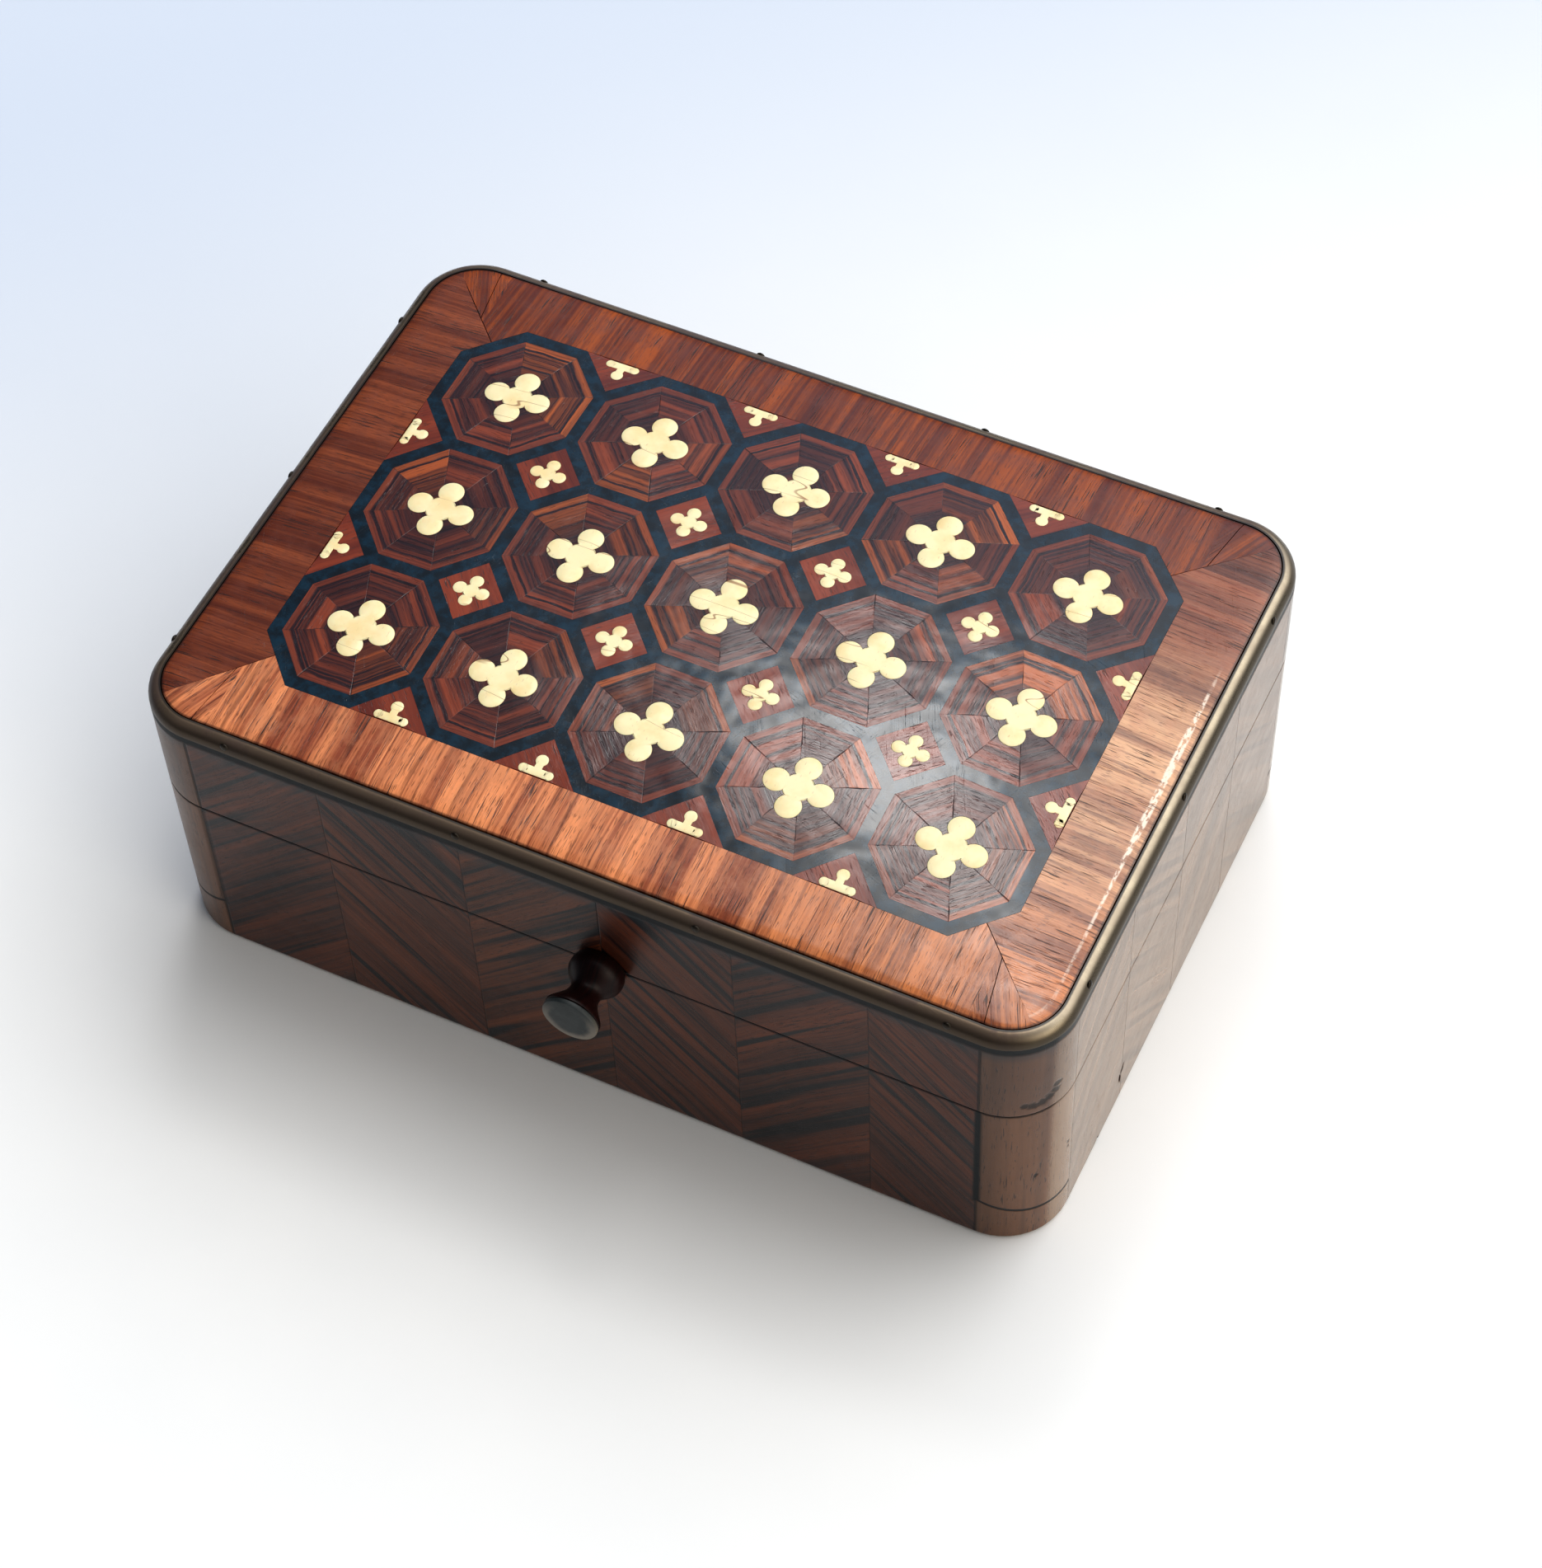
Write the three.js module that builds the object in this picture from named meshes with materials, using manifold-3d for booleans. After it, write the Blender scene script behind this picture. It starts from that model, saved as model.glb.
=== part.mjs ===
// A small marquetry box: a hollow base, a lid that lifts off, a cushioned top with a brass edge,
// a field of octagons inlaid with bone, and a turned knob at the front. Millimetres, +Z up.
// The origin is the centre of the underside. +X is the long way, -Y is the front with the knob.

import * as THREE from 'three';
import { mergeVertices } from 'three/addons/utils/BufferGeometryUtils.js';
import Module from 'manifold-3d';

// The case
const LENGTH = 99.3;
const WIDTH = 68.1;
const CORNER_RADIUS = 7;
const WALL = 4.2;
const BOTTOM_THICKNESS = 3.5;
const SPLIT_HEIGHT = 23.5;
const LIP_HEIGHT = 3;
const LIP_INSET = 2.2;
const CEILING_HEIGHT = 33;

// The cushioned top is highest in the middle and falls away ever faster towards the edges
const EDGE_HEIGHT = 36.9;
const CROWN = 2.2;
const CROWN_POWER = 2.7;

// The brass edge is a quarter round let into the top corner of the lid
const BEAD_RADIUS = 1.4;
const BEAD_TOP = 36.8;

// The field has three rows of five octagons, a little longer front to back than across
const COLUMNS = 5;
const ROWS = 3;
const PITCH_X = 16;
const PITCH_Y = 16.6;
const STRINGING_WIDTH = 1.6;

// The inlays lie in the veneer with a glue line round them and under them
const VENEER_THICKNESS = 0.9;
const GLUE = 0.3;
const LOBE_RADIUS = 1.36;
const LOBE_DISTANCE = 2.32;
const HEART_RADIUS = 1.6;
const SMALL_CROSS_SCALE = 0.54;

// The turned knob and its bone end
const KNOB_X = 2.7;
const KNOB_LENGTH = 6.5;
const COLLAR_RADIUS = 2.6;
const BULB_RADIUS = 2.9;
const WAIST_RADIUS = 1.6;
const HEAD_RADIUS = 3;
const DISC_THICKNESS = 0.6;

// How finely the round shapes are drawn: an arc gets twice as many straight lengths
const CORNER_STEPS = 4;
const BEAD_STEPS = 5;
const LOBE_STEPS = 3;
const SMALL_LOBE_STEPS = 2;
const TURNED_STEPS = 20;

const HALF_LENGTH = LENGTH / 2;
const HALF_WIDTH = WIDTH / 2;
const OCTAGON_CORNER = Math.tan(Math.PI / 8);
const UNDER_VENEER = EDGE_HEIGHT - 3;
const OVER_TOP = EDGE_HEIGHT + 2 * CROWN;

const wasm = await Module();
wasm.setup();

const box = new THREE.Group();

// Colours and finishes

function finish(color, roughness, metalness) {
  return new THREE.MeshStandardMaterial({ color, roughness, metalness });
}

const sideVeneer = finish(0x4a2a1c, 0.45, 0);
const crossbanding = finish(0x9a4a24, 0.35, 0);
const rosewood = finish(0x5a2a1c, 0.35, 0);
const ebony = finish(0x11141a, 0.35, 0);
const bone = finish(0xf0dcae, 0.4, 0);
const brass = finish(0x8c7a4e, 0.35, 1);
const turnedWood = finish(0x1c0e0c, 0.3, 0);

// Solids

// Makes a closed geometry a solid that can be joined and cut
function solid(geometry) {
  geometry.deleteAttribute('normal');
  geometry.deleteAttribute('uv');
  const merged = mergeVertices(geometry, 1e-5);
  const corners = merged.index.array;
  const triangles = [];
  for (let i = 0; i < corners.length; i += 3) {
    const [a, b, c] = [corners[i], corners[i + 1], corners[i + 2]];
    if (a !== b && b !== c && c !== a) {
      triangles.push(a, b, c);
    }
  }
  return new wasm.Manifold(
    new wasm.Mesh({
      numProp: 3,
      vertProperties: merged.attributes.position.array,
      triVerts: new Uint32Array(triangles),
    }),
  );
}

function add(name, body, look) {
  const { vertProperties, triVerts } = body.getMesh();
  const geometry = new THREE.BufferGeometry();
  geometry.setAttribute('position', new THREE.BufferAttribute(vertProperties, 3));
  geometry.setIndex(new THREE.BufferAttribute(triVerts, 1));
  geometry.computeVertexNormals();
  const mesh = new THREE.Mesh(geometry, look);
  mesh.name = name;
  box.add(mesh);
  return mesh;
}

// An upright block with a flat outline
function column(outline, bottom, top, curveSegments = CORNER_STEPS) {
  const depth = top - bottom;
  const geometry = new THREE.ExtrudeGeometry(outline, { depth, bevelEnabled: false, curveSegments });
  geometry.translate(0, 0, bottom);
  return solid(geometry);
}

// A block right through the lid's veneers
function cutter(outline, curveSegments) {
  return column(outline, UNDER_VENEER, OVER_TOP, curveSegments);
}

// A body turned about the line that points out of the front, from radii and distances along it
function turned(profile) {
  const points = profile.map(([radius, distance]) => new THREE.Vector2(radius, distance));
  const geometry = new THREE.LatheGeometry(points, TURNED_STEPS);
  geometry.rotateX(Math.PI);
  return solid(geometry);
}

// Outlines

// The box's rounded outline, set in by some distance
function caseOutline(inset) {
  const x = HALF_LENGTH - CORNER_RADIUS;
  const y = HALF_WIDTH - CORNER_RADIUS;
  const r = CORNER_RADIUS - inset;
  const outline = new THREE.Shape();
  outline.absarc(x, y, r, 0, 0.5 * Math.PI, false);
  outline.absarc(-x, y, r, 0.5 * Math.PI, Math.PI, false);
  outline.absarc(-x, -y, r, Math.PI, 1.5 * Math.PI, false);
  outline.absarc(x, -y, r, 1.5 * Math.PI, 2 * Math.PI, false);
  outline.closePath();
  return outline;
}

// An octagon with sides square to the box, drawn in from the pattern's own lines
function octagon(cx, cy, inset) {
  const x = PITCH_X / 2 - inset;
  const y = PITCH_Y / 2 - inset;
  const points = [];
  for (const [sx, sy] of [[1, 1], [-1, 1], [-1, -1], [1, -1]]) {
    const side = new THREE.Vector2(cx + sx * x, cy + sy * y * OCTAGON_CORNER);
    const end = new THREE.Vector2(cx + sx * x * OCTAGON_CORNER, cy + sy * y);
    points.push(...(sx === sy ? [side, end] : [end, side]));
  }
  return new THREE.Shape(points);
}

// The small square between four octagons, standing on its corner
function square(cx, cy, inset) {
  const x = (PITCH_X / 2) * (1 - OCTAGON_CORNER) - inset * Math.SQRT2;
  const y = (PITCH_Y / 2) * (1 - OCTAGON_CORNER) - inset * Math.SQRT2;
  return new THREE.Shape([
    new THREE.Vector2(cx + x, cy),
    new THREE.Vector2(cx, cy + y),
    new THREE.Vector2(cx - x, cy),
    new THREE.Vector2(cx, cy - y),
  ]);
}

// Four round lobes with narrow necks on a round heart
function quatrefoil(cx, cy, scale, grow) {
  const lobe = LOBE_RADIUS * scale + grow;
  const away = LOBE_DISTANCE * scale;
  const heart = HEART_RADIUS * scale + grow;
  const neckX = (away ** 2 + heart ** 2 - lobe ** 2) / (2 * away);
  const neckY = Math.sqrt(heart ** 2 - neckX ** 2);
  const open = Math.atan2(neckY, neckX - away);
  const outline = new THREE.Shape();
  for (let i = 0; i < 4; i += 1) {
    const way = (i * Math.PI) / 2;
    const x = cx + away * Math.cos(way);
    const y = cy + away * Math.sin(way);
    outline.absarc(x, y, lobe, way - open, way + open, false);
  }
  outline.closePath();
  return outline;
}

// The cushioned top

function topHeight(x, y) {
  const across = 1 - Math.min(1, Math.abs(x) / HALF_LENGTH) ** CROWN_POWER;
  const along = 1 - Math.min(1, Math.abs(y) / HALF_WIDTH) ** CROWN_POWER;
  return EDGE_HEIGHT + CROWN * across * along;
}

// Grid lines along the sides of the octagons, and out past the rim
function gridLines(half, pitch, count) {
  const lines = [];
  for (let i = 0; i <= count; i += 1) {
    lines.push((i - count / 2) * pitch);
  }
  const rim = half - CORNER_RADIUS / 2;
  const past = half + 1;
  return [-past, -rim, ...lines, rim, past];
}

// A sheet that follows the top at some depth below it, and ends at the height its underside gives
function sheet(depth, underside) {
  const xs = gridLines(HALF_LENGTH, PITCH_X, COLUMNS);
  const ys = gridLines(HALF_WIDTH, PITCH_Y, ROWS);
  const upper = [];
  const lower = [];
  for (const y of ys) {
    for (const x of xs) {
      const top = topHeight(x, y) - depth;
      upper.push(x, y, top);
      lower.push(x, y, underside(top));
    }
  }
  const wide = xs.length;
  const count = wide * ys.length;
  const index = [];
  const quad = (a, b, c, d) => index.push(a, b, c, a, c, d);
  for (let j = 0; j + 1 < ys.length; j += 1) {
    for (let i = 0; i + 1 < wide; i += 1) {
      const a = j * wide + i;
      const c = a + 1 + wide;
      quad(a, a + 1, c, a + wide);
      quad(count + a, count + a + wide, count + c, count + a + 1);
    }
  }
  for (let i = 0; i + 1 < wide; i += 1) {
    const back = count - wide + i;
    quad(i, count + i, count + i + 1, i + 1);
    quad(back, back + 1, count + back + 1, count + back);
  }
  for (let left = 0; left + wide < count; left += wide) {
    const right = left + wide - 1;
    quad(left, left + wide, count + left + wide, count + left);
    quad(right, count + right, count + right + wide, right + wide);
  }
  const geometry = new THREE.BufferGeometry();
  geometry.setAttribute('position', new THREE.Float32BufferAttribute([...upper, ...lower], 3));
  geometry.setIndex(index);
  return solid(geometry);
}

const veneer = sheet(0, (top) => top - VENEER_THICKNESS);

// A piece of the lid's veneer with this outline, and a hole for what is let into it
function veneerPiece(outline, hole, curveSegments) {
  const piece = veneer.intersect(cutter(outline, curveSegments));
  return hole ? piece.subtract(cutter(hole, curveSegments)) : piece;
}

// The pattern

// The middles of a block of the pattern, back row first, from left to right
function places(rows, columns) {
  const list = [];
  for (let row = 0; row < rows; row += 1) {
    for (let place = 0; place < columns; place += 1) {
      list.push({
        name: `r${row + 1}_c${place + 1}`,
        x: (place - (columns - 1) / 2) * PITCH_X,
        y: ((rows - 1) / 2 - row) * PITCH_Y,
      });
    }
  }
  return list;
}

const octagonPlaces = places(ROWS, COLUMNS);
const squarePlaces = places(ROWS - 1, COLUMNS - 1);

// All the octagons joined, each drawn in or out by the same distance
function octagonField(inset) {
  const blocks = octagonPlaces.map(({ x, y }) => cutter(octagon(x, y, inset)));
  return blocks.reduce((whole, block) => whole.add(block));
}

// The case

// The base is a tray whose rim is rebated: its inner half stands up as a lip inside the lid
function baseBox() {
  const walls = column(caseOutline(0), 0, SPLIT_HEIGHT);
  const lip = column(caseOutline(LIP_INSET), BOTTOM_THICKNESS, SPLIT_HEIGHT + LIP_HEIGHT);
  const hollow = column(caseOutline(WALL), BOTTOM_THICKNESS, SPLIT_HEIGHT + 2 * LIP_HEIGHT);
  return walls.add(lip).subtract(hollow);
}

// The lid is a hollow cap with a ledge round its top for the brass and a crowned ground for the veneer
function lidBox() {
  const skirt = column(caseOutline(0), SPLIT_HEIGHT, BEAD_TOP - BEAD_RADIUS);
  const crown = column(caseOutline(BEAD_RADIUS + GLUE), SPLIT_HEIGHT, OVER_TOP);
  const ground = sheet(VENEER_THICKNESS + GLUE, () => 0);
  const rebate = column(caseOutline(LIP_INSET - GLUE), 0, SPLIT_HEIGHT + LIP_HEIGHT + GLUE);
  const hollow = column(caseOutline(WALL), 0, CEILING_HEIGHT);
  return skirt.add(crown.intersect(ground)).subtract(rebate).subtract(hollow);
}

// The brass edge is a quarter round carried round the outline
function brassBead() {
  const section = [[BEAD_RADIUS, 0]];
  for (let i = 0; i <= BEAD_STEPS; i += 1) {
    const turn = (i / BEAD_STEPS) * (Math.PI / 2);
    section.push([BEAD_RADIUS * (1 - Math.cos(turn)), BEAD_RADIUS * Math.sin(turn)]);
  }
  const rings = section.map(([inset]) => caseOutline(inset).extractPoints(CORNER_STEPS).shape);
  const count = rings[0].length;
  const positions = [];
  rings.forEach((ring, s) => {
    ring.forEach(({ x, y }) => positions.push(x, y, BEAD_TOP - BEAD_RADIUS + section[s][1]));
  });
  const index = [];
  for (let s = 0; s < rings.length; s += 1) {
    for (let i = 0; i < count; i += 1) {
      const here = s * count + i;
      const beside = s * count + ((i + 1) % count);
      const over = ((s + 1) % rings.length) * count + i;
      const across = ((s + 1) % rings.length) * count + ((i + 1) % count);
      index.push(here, beside, across, here, across, over);
    }
  }
  const geometry = new THREE.BufferGeometry();
  geometry.setAttribute('position', new THREE.Float32BufferAttribute(positions, 3));
  geometry.setIndex(index);
  return solid(geometry);
}

add('base_box', baseBox(), sideVeneer);
add('lid_box', lidBox(), sideVeneer);
add('brass_bead', brassBead(), brass);

// The field of octagons

const HALF_STRING = STRINGING_WIDTH / 2;
const HALF_GLUE = GLUE / 2;

function stringing() {
  const outside = octagonField(HALF_GLUE - HALF_STRING);
  return veneer.intersect(outside).subtract(octagonField(HALF_STRING - HALF_GLUE));
}

add('ebony_stringing', stringing(), ebony);

for (const { name, x, y } of octagonPlaces) {
  const hole = quatrefoil(x, y, 1, HALF_GLUE);
  const tile = veneerPiece(octagon(x, y, HALF_STRING + HALF_GLUE), hole, LOBE_STEPS);
  const inlay = veneerPiece(quatrefoil(x, y, 1, -HALF_GLUE), null, LOBE_STEPS);
  add(`octagon_${name}`, tile, rosewood);
  add(`quatrefoil_${name}`, inlay, bone);
}

for (const { name, x, y } of squarePlaces) {
  const hole = quatrefoil(x, y, SMALL_CROSS_SCALE, HALF_GLUE);
  const tile = veneerPiece(square(x, y, HALF_STRING + HALF_GLUE), hole, SMALL_LOBE_STEPS);
  const inlay = veneerPiece(quatrefoil(x, y, SMALL_CROSS_SCALE, -HALF_GLUE), null, SMALL_LOBE_STEPS);
  add(`square_${name}`, tile, rosewood);
  add(`small_cross_${name}`, inlay, bone);
}

// The border

// One side of the border, mitred at its ends, from the brass in to the stringing
function borderStrip(halfSide, away, quarterTurns) {
  const mitre = HALF_GLUE * Math.SQRT2;
  const deep = PITCH_X;
  const corners = [
    [mitre - halfSide, -away],
    [halfSide - mitre, -away],
    [halfSide - mitre - deep, deep - away],
    [mitre - halfSide + deep, deep - away],
  ];
  const middle = new THREE.Vector2(0, 0);
  const turn = (quarterTurns * Math.PI) / 2;
  const points = corners.map(([x, y]) => new THREE.Vector2(x, y).rotateAround(middle, turn));
  const strip = veneerPiece(new THREE.Shape(points), null);
  const rim = cutter(caseOutline(BEAD_RADIUS + GLUE));
  return strip.intersect(rim).subtract(octagonField(-HALF_STRING - HALF_GLUE));
}

add('border_front', borderStrip(HALF_LENGTH, HALF_WIDTH, 0), crossbanding);
add('border_right', borderStrip(HALF_WIDTH, HALF_LENGTH, 1), crossbanding);
add('border_back', borderStrip(HALF_LENGTH, HALF_WIDTH, 2), crossbanding);
add('border_left', borderStrip(HALF_WIDTH, HALF_LENGTH, 3), crossbanding);

// The knob

// A bulb against the case, a waist, and a flared head, all turned in one piece
const knob = turned([
  [0, 0],
  [COLLAR_RADIUS, 0],
  [BULB_RADIUS, 0.14 * KNOB_LENGTH],
  [BULB_RADIUS, 0.26 * KNOB_LENGTH],
  [0.8 * BULB_RADIUS, 0.38 * KNOB_LENGTH],
  [WAIST_RADIUS, 0.5 * KNOB_LENGTH],
  [WAIST_RADIUS, 0.62 * KNOB_LENGTH],
  [0.75 * HEAD_RADIUS, 0.8 * KNOB_LENGTH],
  [HEAD_RADIUS, 0.94 * KNOB_LENGTH],
  [HEAD_RADIUS, KNOB_LENGTH],
  [0, KNOB_LENGTH],
]);

// The bone plate on the knob's end has a softened rim
const SOFT = 0.25 * DISC_THICKNESS;
const disc = turned([
  [0, KNOB_LENGTH],
  [HEAD_RADIUS, KNOB_LENGTH],
  [HEAD_RADIUS, KNOB_LENGTH + DISC_THICKNESS - SOFT],
  [HEAD_RADIUS - SOFT, KNOB_LENGTH + DISC_THICKNESS],
  [0, KNOB_LENGTH + DISC_THICKNESS],
]);

add('knob', knob, turnedWood).position.set(KNOB_X, -HALF_WIDTH, SPLIT_HEIGHT);
add('knob_disc', disc, bone).position.set(KNOB_X, -HALF_WIDTH, SPLIT_HEIGHT);

export default box;
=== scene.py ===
import math
from contextlib import contextmanager

import bmesh
import bpy
from mathutils import Matrix, Vector


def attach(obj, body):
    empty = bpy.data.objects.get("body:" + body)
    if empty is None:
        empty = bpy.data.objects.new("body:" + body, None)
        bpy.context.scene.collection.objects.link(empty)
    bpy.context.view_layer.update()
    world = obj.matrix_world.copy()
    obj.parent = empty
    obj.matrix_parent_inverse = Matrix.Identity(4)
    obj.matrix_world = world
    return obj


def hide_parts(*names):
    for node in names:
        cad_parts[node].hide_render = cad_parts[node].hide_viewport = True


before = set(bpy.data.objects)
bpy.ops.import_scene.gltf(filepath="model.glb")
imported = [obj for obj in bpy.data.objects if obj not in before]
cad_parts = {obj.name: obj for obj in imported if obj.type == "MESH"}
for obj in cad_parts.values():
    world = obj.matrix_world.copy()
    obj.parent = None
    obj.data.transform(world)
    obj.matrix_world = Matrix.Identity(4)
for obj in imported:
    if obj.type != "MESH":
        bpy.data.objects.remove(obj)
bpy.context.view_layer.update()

# The base
# A tray of thin wood with a lip that the lid drops over. It is covered with sawn veneer in slanting
# strips, like a herringbone, and a plain upright piece is bent round each corner.

MM = 0.001
LENGTH = 99.3 * MM
WIDTH = 68.1 * MM
CORNER_RADIUS = 7 * MM
CORNER_FACETS = 14
WALL = 4.2 * MM
BOTTOM_THICKNESS = 3.5 * MM
SPLIT_HEIGHT = 23.5 * MM
LIP_HEIGHT = 3 * MM
LIP_INSET = 2.2 * MM
SPLIT_ROUND = 0.16 * MM
FOOT_ROUND = 0.7 * MM
LIP_ROUND = 0.3 * MM
HAIR = 0.002 * MM
RIM_REACH = 0.12 * MM
SKIN = 0.8 * MM


def put_down():
    """Leaves nothing selected."""
    bpy.ops.object.select_all(action="DESELECT")


def take(piece):
    """Leaves only the piece selected, and active."""
    put_down()
    bpy.context.view_layer.objects.active = piece
    piece.select_set(True)


@contextmanager
def shaping(piece):
    """The piece alone is open for shaping, and is closed again at the end."""
    take(piece)
    bpy.ops.object.mode_set(mode="EDIT")
    yield
    bpy.ops.object.mode_set(mode="OBJECT")


def choose(kind, test):
    """Of the open piece, selects only the vertices, edges or faces that pass the test."""
    bpy.ops.mesh.select_mode(type=kind)
    bpy.ops.mesh.select_all(action="DESELECT")
    mesh = bmesh.from_edit_mesh(bpy.context.edit_object.data)
    for item in {"VERT": mesh.verts, "EDGE": mesh.edges, "FACE": mesh.faces}[kind]:
        if test(item):
            item.select_set(True)
    mesh.select_flush_mode()
    bmesh.update_edit_mesh(bpy.context.edit_object.data)


def start(name):
    """Takes up the primitive just added: names it and lays its place and size in its mesh."""
    piece = bpy.context.object
    piece.name = piece.data.name = name
    take(piece)
    bpy.ops.object.transform_apply(location=True, rotation=True, scale=True)
    return piece


def rounded_block(name, inset, bottom, top):
    """A block with the case's rounded outline, drawn in by some distance."""
    put_down()
    bpy.ops.mesh.primitive_cube_add(
        size=1,
        location=(0, 0, (bottom + top) / 2),
        scale=(LENGTH - 2 * inset, WIDTH - 2 * inset, top - bottom),
    )
    piece = start(name)
    with shaping(piece):
        soften(
            lambda e: abs(e.verts[0].co.z - e.verts[1].co.z) > HAIR, CORNER_RADIUS - inset, CORNER_FACETS
        )
    return piece


def level(z):
    """A test for faces that lie flat at a height."""
    return lambda f: abs(f.normal.z) > 0.9 and abs(f.calc_center_median().z - z) < HAIR


def out_from_straight(co):
    """How far out a place lies from the inner oblong that the corners are rounded about."""
    x = abs(co.x) - (LENGTH / 2 - CORNER_RADIUS)
    y = abs(co.y) - (WIDTH / 2 - CORNER_RADIUS)
    return math.hypot(max(x, 0), max(y, 0))


def rim(z, inset):
    """A test for the edges that go round the case's outline, drawn in by some distance, at a height."""

    def test(e):
        if any(abs(v.co.z - z) > HAIR for v in e.verts):
            return False
        middle = (e.verts[0].co + e.verts[1].co) / 2
        return abs(out_from_straight(middle) - (CORNER_RADIUS - inset)) < RIM_REACH

    return test


def soften(test, width, segments=2):
    """Rounds the chosen edges of the open piece."""
    choose("EDGE", test)
    bpy.ops.mesh.bevel(offset=width, segments=segments, affect="EDGES", clamp_overlap=False)


def draw_up(height):
    bpy.ops.mesh.extrude_region_move(TRANSFORM_OT_translate={"value": (0, 0, height)})


def smooth(piece, degrees=32):
    take(piece)
    bpy.ops.object.shade_smooth_by_angle(angle=math.radians(degrees))


def apply(piece, made):
    take(piece)
    bpy.ops.object.modifier_apply(modifier=made.name)


def put_away(*pieces):
    for piece in pieces:
        bpy.data.objects.remove(piece)


def cut_away(piece, tool, operation="DIFFERENCE"):
    """Cuts a tool's shape out of a piece, or joins the two, and puts the tool away."""
    made = piece.modifiers.new("cut", "BOOLEAN")
    made.operation = operation
    made.solver = "EXACT"
    made.object = tool
    apply(piece, made)
    put_away(tool)


def flatten(piece):
    """Keeps the broad faces of a smoothed piece flat right up to its rounded edges."""
    made = piece.modifiers.new("flat faces", "WEIGHTED_NORMAL")
    made.keep_sharp = True
    apply(piece, made)


def tone(colour):
    """A colour written as six letters and digits, as the shaders want it."""
    parts = [(colour >> shift & 255) / 255 for shift in (16, 8, 0)]
    return (*[p / 12.92 if p <= 0.04045 else ((p + 0.055) / 1.055) ** 2.4 for p in parts], 1)


class Value:
    """What a node gives. Adding to it, multiplying it and the like lays another node."""

    def __init__(self, socket):
        self.socket = socket

    def __add__(self, other):
        return worked("ADD", self, other)

    def __sub__(self, other):
        return worked("SUBTRACT", self, other)

    def __rsub__(self, other):
        return worked("SUBTRACT", other, self)

    def __mul__(self, other):
        return worked("MULTIPLY", self, other)

    def __truediv__(self, other):
        return worked("DIVIDE", self, other)

    def __abs__(self):
        return worked("ABSOLUTE", self)

    __radd__ = __add__
    __rmul__ = __mul__


def take_up(tree):
    """Takes up a tree: every node laid from now on goes into it."""
    global tree_in_hand
    tree_in_hand = tree


def feed(socket, source):
    """Links a value to a socket, or sets a plain number, place or colour on it."""
    if isinstance(source, Value):
        tree_in_hand.links.new(source.socket, socket)
    elif source is not None:
        socket.default_value = source


def node(kind, *sources, **settings):
    made = tree_in_hand.nodes.new("ShaderNode" + kind)
    for name, value in settings.items():
        setattr(made, name, value)
    for socket, source in zip(made.inputs, sources):
        feed(socket, source)
    return made


def lay(kind, *sources, give=0, **settings):
    """Lays a node, its inputs given in order, and returns the value of one of its outputs."""
    return Value(node(kind, *sources, **settings).outputs[give])


def worked(operation, *sources):
    return lay("Math", *sources, operation=operation)


def clamped(value):
    return lay("Clamp", value)


def fade(value, low, high, start=0, end=1):
    """Passes softly from one number to another while a value goes from low to high."""
    return lay("MapRange", value, low, high, start, end, interpolation_type="SMOOTHSTEP")


def mixed(share, first, second):
    """Two colours mixed, each a value or six letters and digits."""
    made = node("Mix", share, data_type="RGBA")
    for socket, source in zip(made.inputs[6:8], (first, second)):
        feed(socket, tone(source) if isinstance(source, int) else source)
    return Value(made.outputs[2])


def noise(place, size, detail=2, rough=0.5):
    return lay("TexNoise", place, None, size, detail, rough)


def stretched(place, x, y, z=1):
    """A place with each way multiplied by its own number."""
    return lay("VectorMath", place, (x, y, z), operation="MULTIPLY")


def split(place):
    return [Value(part) for part in node("SeparateXYZ", place).outputs]


def joined(x, y, z):
    return lay("CombineXYZ", x, y, z)


def group(name, *outputs):
    """Takes up an empty shader node group that is given a place and puts out these values."""
    tree = bpy.data.node_groups.new(name, "ShaderNodeTree")
    tree.interface.new_socket("Place", in_out="INPUT", socket_type="NodeSocketVector")
    for label in outputs:
        tree.interface.new_socket(label, in_out="OUTPUT", socket_type="NodeSocketFloat")
    take_up(tree)
    given = Value(tree.nodes.new("NodeGroupInput").outputs["Place"])
    return tree, given, tree.nodes.new("NodeGroupOutput").inputs


def placed(held, place):
    """A group placed in a material: what it puts out at a place, by name."""
    made = node("Group", node_tree=held)
    feed(made.inputs["Place"], place)
    return {output.name: Value(output) for output in made.outputs}


def show(label, source):
    """Feeds one input of the shader in hand."""
    feed(tree_in_hand.nodes["Principled BSDF"].inputs[label], source)


def finish(name, **constants):
    """Takes up a new material, with what is the same all over set on its shader."""
    look = bpy.data.materials.new(name)
    look.use_nodes = True
    take_up(look.node_tree)
    for label, value in constants.items():
        show(label.replace("_", " "), value)
    return look


def millimetres():
    """The place on the object, in millimetres."""
    return stretched(lay("TexCoord", give="Object"), 1000, 1000, 1000)


def relief(height, deep):
    """Gives the surface in hand a height; a height of one stands that many millimetres proud."""
    bump = node("Bump")
    bump.inputs["Strength"].default_value = 1
    bump.inputs["Distance"].default_value = deep * MM
    feed(bump.inputs["Height"], height)
    show("Normal", Value(bump.outputs[0]))


def fit(piece, slot, solid, *looks):
    """Gives a piece its looks and its place in the frame, instead of the solid if one is named."""
    piece.data.materials.clear()
    for look in looks:
        piece.data.materials.append(look)
    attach(piece, "root")
    if solid:
        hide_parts(solid)


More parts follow.
